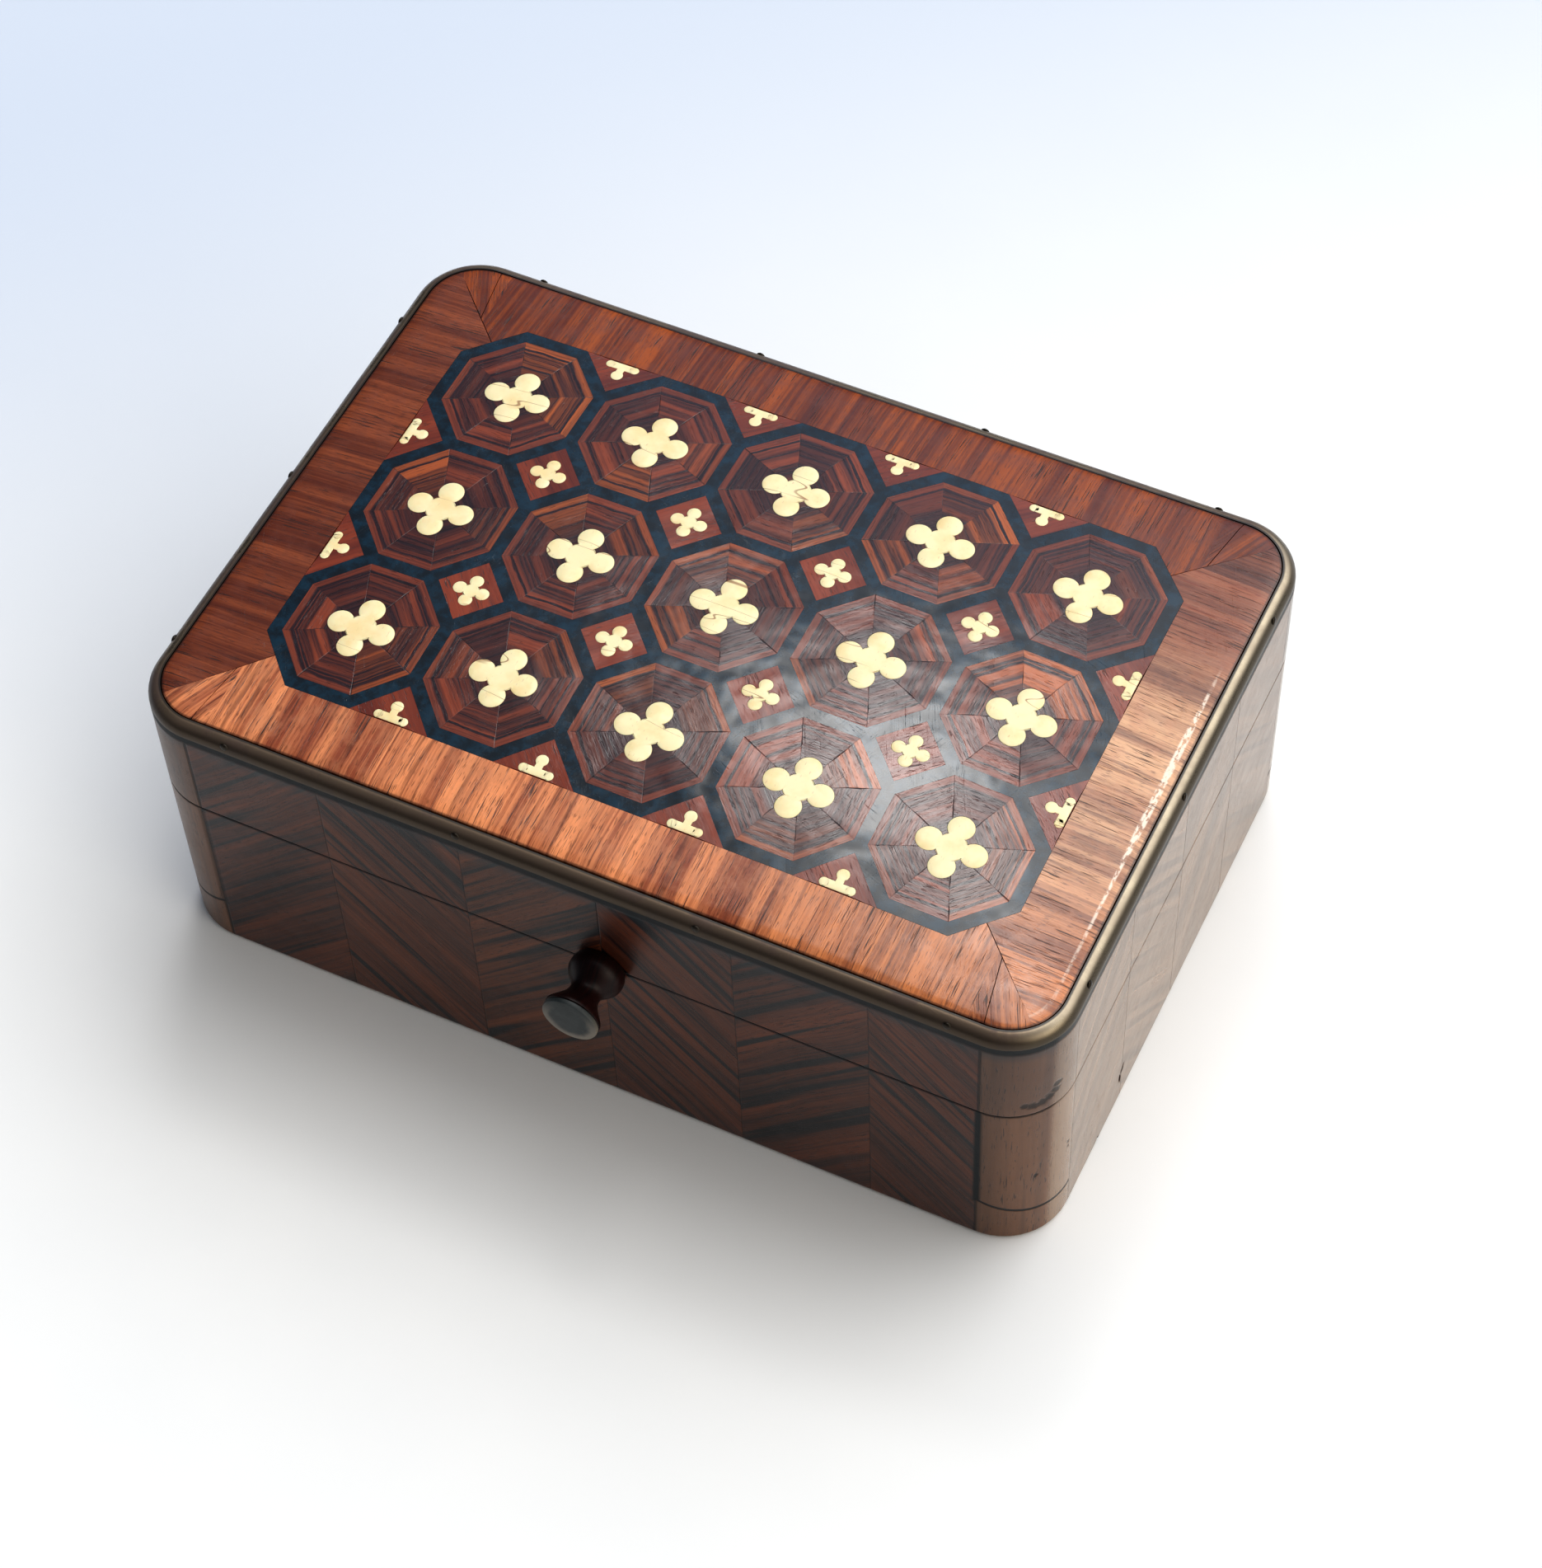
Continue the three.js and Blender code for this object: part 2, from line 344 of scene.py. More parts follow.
# Sawn veneer: broad streaks, fine lines and short open pores, all drawn out along the grain. Its place is
# across the grain, along it, and a number of its own for every piece.
veneer_figure, given, put_out = group("veneer_figure", "Streak", "Line", "Pore", "Tone", "Height")
across, along, number = split(given)
wander = noise(joined(across * 0.06, along * 0.07, number), 1, 2)
grain_way = joined(wander * 1.6 + across, along, number * 7.31)
streak = noise(stretched(grain_way, 0.5, 0.02), 1, 2, 0.55)
line = noise(stretched(grain_way, 3.2, 0.06), 1, 3, 0.6)
fibre = noise(stretched(grain_way, 14, 0.5), 1, 2, 0.6)
pore_field = noise(stretched(grain_way, 9, 0.7), 1, 1, 0.4)
pore_bed = noise(stretched(grain_way, 0.7, 0.2), 1, 1)
pore_start = fade(pore_bed, 0.35, 0.65, 0.7, 0.61)
pore = clamped((pore_field - pore_start) * 16)
feed(put_out["Streak"], fade(streak, 0.3, 0.7))
feed(put_out["Line"], fibre * 0.45 + fade(line, 0.38, 0.6) * 0.55)
feed(put_out["Pore"], pore)
feed(put_out["Tone"], lay("TexWhiteNoise", None, number, noise_dimensions="1D"))
feed(put_out["Height"], fibre * 0.5 - pore)

# Old polish: a film that has dulled in clouds, with fine scratches and a surface that is never quite flat.
old_polish, given, put_out = group("old_polish", "Dull", "Height")
scratch = 0
for turn in (0.4, 1.9, 2.7):
    turned = lay("VectorRotate", given, (0, 0, 0), (0, 0, 1), turn, rotation_type="AXIS_ANGLE")
    run = noise(stretched(turned, 7, 0.22, 0.22), 1, 0)
    where = noise(stretched(turned, 0.25, 0.1, 0.1), 1, 1)
    scratch = worked("MAXIMUM", scratch, fade(abs(run - 0.5), 0, 0.006, 1, 0) * fade(where, 0.56, 0.64))
swell = noise(given, 0.3, 1) * 0.45
feed(put_out["Dull"], noise(given, 1.1, 3, 0.6) * 0.4 + noise(given, 0.16, 3, 0.6) * 0.6)
feed(put_out["Height"], swell - scratch * 0.06)

SIDE_STRIPS = 6
END_STRIPS = 4
SIDE_STRAIGHT = LENGTH / 2 / MM - CORNER_RADIUS / MM
END_STRAIGHT = WIDTH / 2 / MM - CORNER_RADIUS / MM
COUNTER_SKEW = math.sqrt(0.5)

# Small dark bruises: where each is, in millimetres, and how large
MARKS = (
    ((46.8, -32.7, 25.3), 0.6),
    ((47.4, -32.2, 25.0), 0.85),
    ((48.0, -31.5, 25.1), 0.9),
    ((48.5, -30.8, 25.6), 0.85),
    ((48.8, -30.2, 26.3), 0.85),
    ((48.9, -30.0, 27.1), 0.65),
    ((47.9, -31.7, 11.6), 0.4),
    ((49.6, -13.9, 4.2), 0.5),
    ((49.6, -13.4, 5.3), 0.5),
    ((49.6, -19.3, 0.6), 0.6),
    ((49.6, -27.8, 12.5), 0.3),
    ((49.6, -27.8, 13.4), 0.3),
)


def case_veneer():
    """The slanting strips, with the joints between them, the plain corners, grime in the seams, a painted
    shadow under the brass and the right end painted pale as sheen.
    """
    look = finish("case_veneer", Specular_IOR_Level=0.4)
    spot = millimetres()
    x, y, z = split(spot)
    facing = split(lay("TexCoord", give="Normal"))
    wide_x, wide_y = abs(x), abs(y)
    is_side = worked("GREATER_THAN", abs(facing[1]), abs(facing[0]))
    is_end = 1 - is_side
    is_corner = worked("GREATER_THAN", wide_x, SIDE_STRAIGHT) * worked("GREATER_THAN", wide_y, END_STRAIGHT)
    # On the long sides the strips grow wider to the left and narrower to the right of the knob
    crowded = fade(x, -42, 3, 0, 0.2) * fade(x, 32, 43, 1, 0)
    side_run = (x + SIDE_STRAIGHT) / (2 * SIDE_STRAIGHT / SIDE_STRIPS) - crowded
    end_run = (y + END_STRAIGHT) / (2 * END_STRAIGHT / END_STRIPS)
    run = side_run * is_side + end_run * is_end
    way = x * is_side + y * is_end
    strip = worked("FLOOR", run)
    within = worked("FRACT", run)
    slant = worked("MODULO", strip + 20, 2) * -2 + 1
    rise = slant * z
    strip_across = (way - rise) * COUNTER_SKEW
    strip_along = (way + rise) * COUNTER_SKEW
    bend = worked("ARCTAN2", wide_y - END_STRAIGHT, wide_x - SIDE_STRAIGHT) * (CORNER_RADIUS / MM)
    keep = 1 - is_corner
    across = strip_across * keep + bend * is_corner
    along = strip_along * keep + z * is_corner
    side_number = worked("SIGN", y) * 17 * is_side + worked("SIGN", x) * 29 * is_end + 40
    number = strip * keep + side_number
    each_corner = worked("SIGN", x) * 3 + worked("SIGN", y)
    number = lay("Mix", is_corner, None, number, each_corner + 90, data_type="FLOAT")
    figure = placed(veneer_figure, joined(across, along, number))
    polish = placed(old_polish, spot)
    pale = mixed(figure["Tone"], 0x64301A, 0x764022)
    pale = mixed(is_corner, pale, 0x7C5438)
    # Painted sheen: the right end is painted pale, with fainter lines and pores, standing in for its grazing
    # reflection of the bright table
    right_end_sheen = is_end * fade(x, 48.5, 49.2, 0, 0.85)
    pale = mixed(right_end_sheen, pale, mixed(fade(y, 0, 30), 0x9C826A, 0x88705A))
    dark_lines = fade(noise(joined(across * 0.9, along * 0.02, number), 1, 2), 0.36, 0.5)
    share = (figure["Streak"] * 0.5 + figure["Line"] * 0.5) * dark_lines
    share = is_corner * 0.5 + share * fade(is_corner, 0, 1, 1, 0.3)
    colour = mixed(share, mixed(right_end_sheen, 0x0C0C12, 0x705A48), pale)
    colour = mixed(is_corner * fade(z, 22, 26, 0, 0.35), colour, 0x2A1C1A)
    pores = figure["Pore"] * fade(right_end_sheen, 0, 0.85, 0.7, 0.4)
    colour = mixed(pores, colour, 0x140C0E)
    # Dark seams between the strips, beside the corners and along the lid's joint, with a painted shadow
    # under the brass
    edge = worked("MINIMUM", within, 1 - within)
    seam = fade(edge, 0.001, 0.008, 0.4, 0) * keep
    beside = abs(wide_x - SIDE_STRAIGHT) * is_side + abs(wide_y - END_STRAIGHT) * is_end
    corner_seam = fade(beside, 0.06, 0.28, 0.7, 0) * fade(is_side, 0, 1, 0.25, 1)
    below_lid = worked("LESS_THAN", z, SPLIT_HEIGHT / MM) * fade(z, 6.2, 6.9)
    open_joint = fade(beside, 0.15, 0.6, 1, 0) * is_side * below_lid * fade(x, -10, 10, 0.5, 1)
    # Painted shadow: a dark line right under the brass, then a teal shade fading down below it
    shadow_under_brass = fade(z, 34.25, 34.8, 0, 0.97)
    shaded = fade(z, 32.8, 34.4, 0, 0.55) * (1 - right_end_sheen)
    colour = mixed(shaded, colour, 0x14232A)
    at_split = fade(abs(z - SPLIT_HEIGHT / MM), 0.05, 0.3, 0.8, 0) * fade(right_end_sheen, 0, 0.85, 1, 0.4)
    foot = fade(abs(z - (bend * bend * 0.0178 + 4.75)), 0.1, 0.3, 0.95, 0) * is_corner
    dirt_and_shade = seam
    for other in (corner_seam, open_joint, shadow_under_brass, at_split, foot):
        dirt_and_shade = worked("MAXIMUM", dirt_and_shade, other)
    ragged = noise(spot, 1.6, 2) - 0.5
    for mark, size in MARKS:
        away = ragged * size + lay("VectorMath", spot, mark, operation="DISTANCE", give="Value")
        dirt_and_shade = worked("MAXIMUM", dirt_and_shade, fade(away, size * 0.35, size, 0.78, 0))
    show("Base Color", mixed(dirt_and_shade, colour, 0x0C1418))
    rough = polish["Dull"] * 0.25 + fade(right_end_sheen, 0, 0.85, 0.22, 0.03)
    show("Roughness", dirt_and_shade * 0.3 + rough)
    height = figure["Height"] * fade(right_end_sheen, 0, 0.85, 0.1, 0.04) + polish["Height"]
    relief(height - dirt_and_shade * 0.5, 0.12)
    return look


def bare_wood():
    """Plain brown wood, planed and left bare, as the inside and the underside are."""
    look = finish("bare_wood", Specular_IOR_Level=0.25, Roughness=0.6)
    x, y, z = split(millimetres())
    figure = placed(veneer_figure, joined(y + z, x, 3))
    share = figure["Streak"] * 0.5 + figure["Line"] * 0.5
    colour = mixed(share, 0x5A3A24, 0x96693F)
    show("Base Color", mixed(figure["Pore"] * 0.6, colour, 0x2A1A10))
    relief(figure["Height"], 0.05)
    return look


def bare_within(piece):
    """Gives its second look to the faces inside the case and those that face down."""
    for face in piece.data.polygons:
        if out_from_straight(face.center) < CORNER_RADIUS - SKIN or face.normal.z < -0.9:
            face.material_index = 1


# Splinters lost from the right side and its foot: place along the side, height, length, width, depth, lean
NICKS = (
    (-13.9, 4.2, 1.7, 0.5, 0.5, 0.1),
    (-13.35, 5.4, 1.5, 0.42, 0.4, -0.75),
    (-19.3, 0.5, 1.4, 0.5, 0.5, 0.2),
)


def splinter_out(piece):
    """Takes the lost splinters out of a piece, each a slim hollow."""
    for y, z, tall, wide, deep, lean in NICKS:
        put_down()
        bpy.ops.mesh.primitive_uv_sphere_add(
            segments=10,
            ring_count=8,
            radius=MM,
            location=(LENGTH / 2, y * MM, z * MM),
            rotation=(lean, 0, 0),
            scale=(deep, wide / 2, tall / 2),
        )
        cut_away(piece, start("splinter"))


base = rounded_block("base_case", 0, 0, SPLIT_HEIGHT)
with shaping(base):
    choose("FACE", level(SPLIT_HEIGHT))
    bpy.ops.mesh.inset(thickness=LIP_INSET)
    draw_up(LIP_HEIGHT)
    bpy.ops.mesh.inset(thickness=WALL - LIP_INSET)
    draw_up(BOTTOM_THICKNESS - SPLIT_HEIGHT - LIP_HEIGHT)
    soften(rim(SPLIT_HEIGHT, 0), SPLIT_ROUND)
    soften(rim(0, 0), FOOT_ROUND, 4)
    soften(rim(SPLIT_HEIGHT + LIP_HEIGHT, LIP_INSET), LIP_ROUND)
splinter_out(base)
smooth(base)
flatten(base)
case_look = case_veneer()
bare_look = bare_wood()
fit(base, "case_wood", "base_box", case_look, bare_look)
bare_within(base)

# The lid
# A cap of thin wood that rests on the base's rim. Its top is cut to a low cushion and covered with
# veneer; its sides carry the base's slanting strips on upwards. A ledge round the top takes the brass.

LID_PLAY = 0.3 * MM
CEILING_HEIGHT = 33 * MM
EDGE_HEIGHT = 36.9 * MM
CROWN = 2.11 * MM
CROWN_POWER = 2.7
VENEER = 0.9 * MM
GLUE_ROOM = 0.3 * MM
CROWN_START = 4 * MM
BEAD_RADIUS = 1.4 * MM
BEAD_TOP = 36.8 * MM
GROUND_INSET = BEAD_RADIUS + 0.02 * MM
SCORE_STEP = 2 * MM


def crown(x, y):
    """How high the cushioned top stands at a place."""
    across = 1 - min(1, abs(x) / (LENGTH / 2)) ** CROWN_POWER
    along = 1 - min(1, abs(y) / (WIDTH / 2)) ** CROWN_POWER
    return EDGE_HEIGHT + CROWN * across * along


def whole():
    """Selects all of the open piece."""
    bpy.ops.mesh.select_all(action="SELECT")


def saw(place, across, **settings):
    """Saws the open piece through."""
    whole()
    bpy.ops.mesh.bisect(plane_co=place, plane_no=across, **settings)


def score(step=SCORE_STEP):
    """Cuts the open piece into small squares, so that it can bend to the crown."""
    corners = [v.co for v in bmesh.from_edit_mesh(bpy.context.edit_object.data).verts]
    for axis in (0, 1):
        low = min(c[axis] for c in corners)
        high = max(c[axis] for c in corners)
        for line in range(math.ceil(low / step), math.floor(high / step) + 1):
            place, across = [0, 0, 0], [0, 0, 0]
            place[axis] = line * step
            across[axis] = 1
            saw(place, across)


def press(piece, raised=0):
    """Bends a piece that was made flat, its top at nought, over the crown."""
    for vertex in piece.data.vertices:
        vertex.co.z += crown(vertex.co.x, vertex.co.y) + raised
    piece.data.update()


lid = rounded_block("lid_case", 0, SPLIT_HEIGHT, BEAD_TOP - BEAD_RADIUS)
with shaping(lid):
    choose("FACE", level(SPLIT_HEIGHT))
    bpy.ops.mesh.inset(thickness=LIP_INSET - LID_PLAY)
    draw_up(LIP_HEIGHT + LID_PLAY)
    bpy.ops.mesh.inset(thickness=WALL - LIP_INSET + LID_PLAY)
    draw_up(CEILING_HEIGHT - SPLIT_HEIGHT - LIP_HEIGHT - LID_PLAY)
    choose("FACE", level(BEAD_TOP - BEAD_RADIUS))
    bpy.ops.mesh.inset(thickness=GROUND_INSET)
    draw_up(EDGE_HEIGHT - VENEER - BEAD_TOP + BEAD_RADIUS)
    choose("FACE", level(EDGE_HEIGHT - VENEER))
    bpy.ops.mesh.inset(thickness=CROWN_START)
    soften(rim(SPLIT_HEIGHT, 0), SPLIT_ROUND)
for vertex in lid.data.vertices:
    if vertex.co.z > EDGE_HEIGHT - VENEER - HAIR:
        vertex.co.z = crown(vertex.co.x, vertex.co.y) - VENEER - GLUE_ROOM
smooth(lid)
flatten(lid)
fit(lid, "case_wood", "lid_box", case_look, bare_look)
bare_within(lid)

# The brass edge
# A quarter-round of brass bent round the lid's top corner to guard the veneer, dull and brown with age in
# clouds; painted darker along the front and on its lower round as shade, and paler on the right as a
# painted highlight. Small dark pins hold it to the ledge.

bead = rounded_block("brass_edge", 0, BEAD_TOP - BEAD_RADIUS, BEAD_TOP)
with shaping(bead):
    choose("FACE", level(BEAD_TOP - BEAD_RADIUS))
    bpy.ops.mesh.inset(thickness=BEAD_RADIUS)
    bpy.ops.mesh.delete(type="FACE")
    soften(rim(BEAD_TOP, 0), BEAD_RADIUS * 0.985, 8)
    choose("FACE", lambda f: f.normal.z > 0.999 and len(f.verts) > 20)
    bpy.ops.mesh.delete(type="FACE")
    choose("EDGE", lambda e: e.is_boundary)
    bpy.ops.mesh.bridge_edge_loops()
smooth(bead, 40)


def inset_of(x, y):
    """How far a place near the edge lies in from the case's outline."""
    past_x = worked("MAXIMUM", abs(x) - SIDE_STRAIGHT, 0)
    past_y = worked("MAXIMUM", abs(y) - END_STRAIGHT, 0)
    out = lay("VectorMath", joined(past_x, past_y, 0), operation="LENGTH", give="Value")
    return CORNER_RADIUS / MM - out


def brass_look(name, bright, right_highlight, stain, worn):
    """Old brass: stains in clouds; painted darker along the front and on its lower round as shade, and paler
    on the right as a painted highlight.
    """
    look = finish(name)
    spot = millimetres()
    x, y, _ = split(spot)
    polish = placed(old_polish, spot)
    cloud = noise(spot, 0.22, 3, 0.6)
    speck = noise(spot, 2.2, 2, 0.5)
    stain_and_shade = fade(speck * 0.15 + cloud * 0.85, *worn)
    # Painted highlight: the right side is painted paler and with fewer stains, for the light it catches
    on_right = fade(x, 44, 48)
    stain_and_shade = stain_and_shade * fade(on_right, 0, 1, 1, 0.3)
    # Painted shade: the front of the bead, facing away from the light, is painted darker
    stain_and_shade = worked("MAXIMUM", stain_and_shade, fade(y, -33.6, -31.5, 0.75, 0))
    inset = inset_of(x, y)
    dirt_and_shade = fade(inset, 1.08, 1.3, 0, 0.9)
    colour = mixed(stain_and_shade, mixed(on_right, bright, right_highlight), stain)
    # Painted shade: the outer, lower round of the bead is painted darker
    colour = mixed(fade(inset, 0.15, 0.75, 0.75, 0), colour, 0x2E261C)
    show("Base Color", mixed(dirt_and_shade, colour, 0x14110F))
    show("Metallic", (1 - stain_and_shade * 0.45) * (1 - dirt_and_shade))
    show("Roughness", stain_and_shade * 0.12 + polish["Dull"] * 0.12 + 0.2)
    relief(speck * 0.04 + polish["Height"], 0.05)
    return look


fit(bead, "brass", "brass_bead", brass_look("old_brass", 0x94826A, 0x948A78, 0x6A5A50, (0.36, 0.6)))

PIN_RADIUS = 0.52 * MM
PIN_HEIGHT = 36.0 * MM
SIDE_PINS = (22.7 * MM, -0.8 * MM, -24.2 * MM)
FRONT_PINS = (-38 * MM, -12.3 * MM, 13.4 * MM, 39.2 * MM)
BEAD_OUT = 0.3 * MM


def join(pieces, name):
    """Makes one piece of several."""
    take(pieces[0])
    for piece in pieces:
        piece.select_set(True)
    bpy.ops.object.join()
    return start(name)


def pin(x, y, turn):
    """One pin: a low domed head, seated in the round of the brass."""
    put_down()
    place = (x, y, PIN_HEIGHT)
    bpy.ops.mesh.primitive_uv_sphere_add(segments=12, ring_count=8, radius=PIN_RADIUS, location=place)
    head = start("pin")
    with shaping(head):
        whole()
        bpy.ops.transform.resize(value=(1, 0.5, 1), center_override=place)
    spot = Matrix.Translation(place)
    head.data.transform(spot @ Matrix.Rotation(turn, 4, "Z") @ spot.inverted())
    return head


pins = [pin(side * (LENGTH / 2 - BEAD_OUT), y, math.pi / 2) for side in (-1, 1) for y in SIDE_PINS]
pins += [pin(x, side * (WIDTH / 2 - BEAD_OUT), 0) for side in (-1, 1) for x in FRONT_PINS]
pin_heads = join(pins, "bead_pins")
smooth(pin_heads, 60)
fit(pin_heads, "brass", None, brass_look("dark_pins", 0x2A2822, 0x2A2822, 0x14120F, (0.3, 0.5)))

# The border
# Red-brown veneer laid across the edge, so that its grain runs out from the field to the brass. Four
# strips are mitred at the corners, each ended by a gusset whose grain turns towards the corner.

FIELD_X = 40.7 * MM
FIELD_Y = 25.6 * MM
CHAMFER_X = 5.1 * MM
CHAMFER_Y = 5.27 * MM
BORDER_INSET = BEAD_RADIUS + 0.12 * MM
SEAM = 0.012 * MM
MITRE_GAP = 0.04 * MM
ROLL_STEPS = (0.2 * MM, 0.25 * MM, 0.35 * MM, 0.5 * MM)
ROLL_DEPTH = 0.2 * MM
PIECE_APART = 100
GUSSET_GRAIN = math.radians(25)
GUSSET_LEAN = math.radians(10)
GUSSET_AWAY = 0.7 * MM


def oblong(name, half_x, low_y, high_y, bottom, top):
    put_down()
    bpy.ops.mesh.primitive_cube_add(
        size=1,
        location=(0, (low_y + high_y) / 2, (bottom + top) / 2),
        scale=(2 * half_x, high_y - low_y, top - bottom),
    )
    return start(name)


def saw_off(place, away):
    """Saws the open piece through and drops what lies on the far side."""
    saw(place, away, clear_outer=True, use_fill=True)


def field_block(name, grown, thick=VENEER):
    """The whole field, with its corners cut off, larger all round by some distance."""
    reach = FIELD_Y + grown
    block = oblong(name, FIELD_X + grown, -reach, reach, -thick, 0)
    with shaping(block):
        for sx in (-1, 1):
            for sy in (-1, 1):
                out = Vector((sx * CHAMFER_Y, sy * CHAMFER_X, 0)).normalized()
                saw_off(Vector((sx * (FIELD_X - CHAMFER_X), sy * FIELD_Y, 0)) + grown * out, out)
    return block


def copy_of(piece, name):
    """A copy with its own mesh."""
    made = piece.copy()
    made.data = piece.data.copy()
    made.name = made.data.name = name
    bpy.context.scene.collection.objects.link(made)
    return made


def lay_grain(piece, grain):
    """Writes on each face where it lies in its veneer: across the grain and along it, in millimetres."""
    marks = piece.data.uv_layers.get("grain") or piece.data.uv_layers.new(name="grain")
    for face in piece.data.polygons:
        for corner in face.loop_indices:
            co = piece.data.vertices[piece.data.loops[corner].vertex_index].co
            marks.data[corner].uv = grain(face.center / MM, co / MM)


ring = rounded_block("border_ring", BORDER_INSET, -VENEER, 0)
with shaping(ring):
    choose("FACE", level(0))
    for step in ROLL_STEPS:
        bpy.ops.mesh.inset(thickness=step)
cut_away(ring, field_block("field_hole", SEAM, 4 * VENEER))

# Where each strip's lengths of veneer meet, in millimetres along its side from the middle
JOINTS = {
    "front": (-35.5, -22.5, -9, 5.5, 19, 31.5, 41.4),
    "back": (-36.5, -24, -8.5, 4, 17.5, 30, 41),
    "left": (-24, -13.5, -1.5, 10.5, 20),
    "right": (-24.5, -13, -2.5, 9, 19.5),
}
SIDES = {
    "front": (0, LENGTH / 2),
    "right": (1, WIDTH / 2),
    "back": (2, LENGTH / 2),
    "left": (3, WIDTH / 2),
}


def roll_edge(strip):
    """Rolls the outer edge of a pressed strip down towards the brass."""
    reach = sum(ROLL_STEPS)
    for vertex in strip.data.vertices:
        inside = CORNER_RADIUS - BORDER_INSET - out_from_straight(vertex.co)
        vertex.co.z -= ROLL_DEPTH * max(0, 1 - inside / reach) ** 2
    strip.data.update()


def border_grain(side):
    """The veneer's place on one strip, seen with that side turned to the front."""
    turn, half = SIDES[side]
    back = Matrix.Rotation(-turn * math.pi / 2, 3, "Z")
    joints = JOINTS[side]
    end = (half - (LENGTH / 2 - FIELD_X)) / MM

    def grain(centre, co):
        middle = back @ centre
        number = sum(middle.x > j for j in joints) + 10 * turn
        lean = 0
        if abs(middle.x) > end:
            number += 5 if middle.x > 0 else 7
            if turn % 2 == 0:
                lean = GUSSET_GRAIN if middle.x > 0 else -GUSSET_GRAIN
        there = Matrix.Rotation(-lean, 3, "Z") @ (back @ co)
        return there.x + PIECE_APART * number, there.y

    return grain


def grain_place(apart):
    """Where a face lies in its veneer, with its own piece's number."""
    u, v, _ = split(lay("UVMap", uv_map="grain"))
    number = worked("ROUND", u / apart)
    return u - number * apart, v, number


# The front and the right strips are painted paler than the others, standing in for the sheen of the light on
# them; where those two meet they are alike
CORNER_BANDING = (0x7E4428, 0xCC7E4A)
BANDING_COLOURS = {
    "front": (0x8E4A32, 0xEE9A68),
    "right": (0x8C5C42, 0xDAA880),
    "back": (0x5C2208, 0xA04E12),
    "left": (0x5E2A18, 0x904C2C),
}


def crossband_look(side):
    """Cross-grained veneer: dark streaks and short pores that run straight out to the brass."""
    look = finish(f"crossbanding_{side}", Specular_IOR_Level=0.5)
    spot = millimetres()
    x, y, _ = split(spot)
    deep, pale = BANDING_COLOURS[side]
    if side in ("front", "right"):
        near_corner = fade(x, 4, 34) if side == "front" else fade(y, -25, -10, 1, 0)
        deep, pale = [mixed(near_corner, *pair) for pair in zip((deep, pale), CORNER_BANDING)]
    across, along, number = grain_place(PIECE_APART)
    figure = placed(veneer_figure, joined(across, along * 0.4, number))
    polish = placed(old_polish, spot)
    share = figure["Streak"] * 0.5 + figure["Line"] * 0.4 + (figure["Tone"] - 0.4) * 0.26
    colour = mixed(fade(share, 0.1, 0.85), deep, pale)
    vein = noise(joined(across * 1.5, along * 0.06, number), 1, 2, 0.6)
    colour = mixed(fade(vein, 0.52, 0.68, 0, 0.6), colour, 0x4A2018)
    # Clouds in the polish; on the front and right strips they are painted pale as sheen
    cloud_sheen = fade(noise(spot, 0.35, 4, 0.65), 0.42, 0.68, 0, 0.42)
    colour = mixed(cloud_sheen, colour, 0xBC7E5C if side in ("front", "right") else 0x703E30)
    dash = noise(joined(across * 7, along * 0.8, number), 1, 2)
    colour = mixed(fade(dash, 0.56, 0.68, 0, 0.55), colour, 0x4E2A1C)
    if side == "right":
        red = fade(y, 6, 17, 0, 0.8)
        colour = mixed(red, colour, mixed(share, 0x3A0E06, 0x863410))
        # A painted highlight: a narrow broken pale strip beside the brass, where the rolled edge of the
        # veneer catches the light
        wide = fade(y, -14, -6, 0, 0.2) * fade(y, 4, 11, 1, 0)
        beside = fade(abs(inset_of(x, y) - 2.5) - wide, 0.04, 0.24, 1, 0)
        length = fade(y, -27, -12, 0.3, 1) * fade(y, 9, 15, 1, 0)
        broken = fade(noise(stretched(spot, 2.2, 1.1), 1, 3, 0.6), 0.42, 0.54, 0.1, 1)
        colour = mixed(beside * length * broken * 0.75, colour, 0xFFEEDC)
    colour = mixed(figure["Pore"] * 0.85, colour, 0x20100C)
    show("Base Color", mixed(fade(inset_of(x, y), 1.56, 1.8, 0.7, 0), colour, 0x1A100C))
    show("Roughness", figure["Pore"] * 0.2 + polish["Dull"] * 0.16 + 0.08)
    relief(figure["Height"] * 0.1 + polish["Height"], 0.12)
    return look


for side, (turn, half) in SIDES.items():
    strip = copy_of(ring, f"crossband_{side}")
    turned = Matrix.Rotation(turn * math.pi / 2, 4, "Z")
    strip.data.transform(turned.inverted())
    reach = (WIDTH if turn % 2 == 0 else LENGTH) / 2
    with shaping(strip):
        for sx in (-1, 1):
            away = Vector((sx, 1, 0)).normalized()
            saw_off(Vector((sx * half, -reach, 0)) - MITRE_GAP * away, away)
        end = half - (LENGTH / 2 - FIELD_X)
        for place in (-end, end, *[joint * MM for joint in JOINTS[side]]):
            saw((place, 0, 0), (1, 0, 0))
        score()
    if turn % 2 == 0:
        for sx in (-1, 1):
            gap = oblong("gusset_gap", MITRE_GAP, -CORNER_RADIUS, CORNER_RADIUS, -4 * VENEER, 0)
            away = Matrix.Translation((sx * (end + GUSSET_AWAY), -reach + CORNER_RADIUS, 0))
            gap.data.transform(away @ Matrix.Rotation(sx * GUSSET_LEAN, 4, "Z"))
            cut_away(strip, gap)
    strip.data.transform(turned)
    lay_grain(strip, border_grain(side))
    press(strip)
    roll_edge(strip)
    smooth(strip)
    fit(strip, "crossbanding", f"border_{side}", crossband_look(side))
put_away(ring)

# The ebony net
# Dark strips of ebony frame every octagon and square. They are let in flush and look almost blue
# where the light catches them.

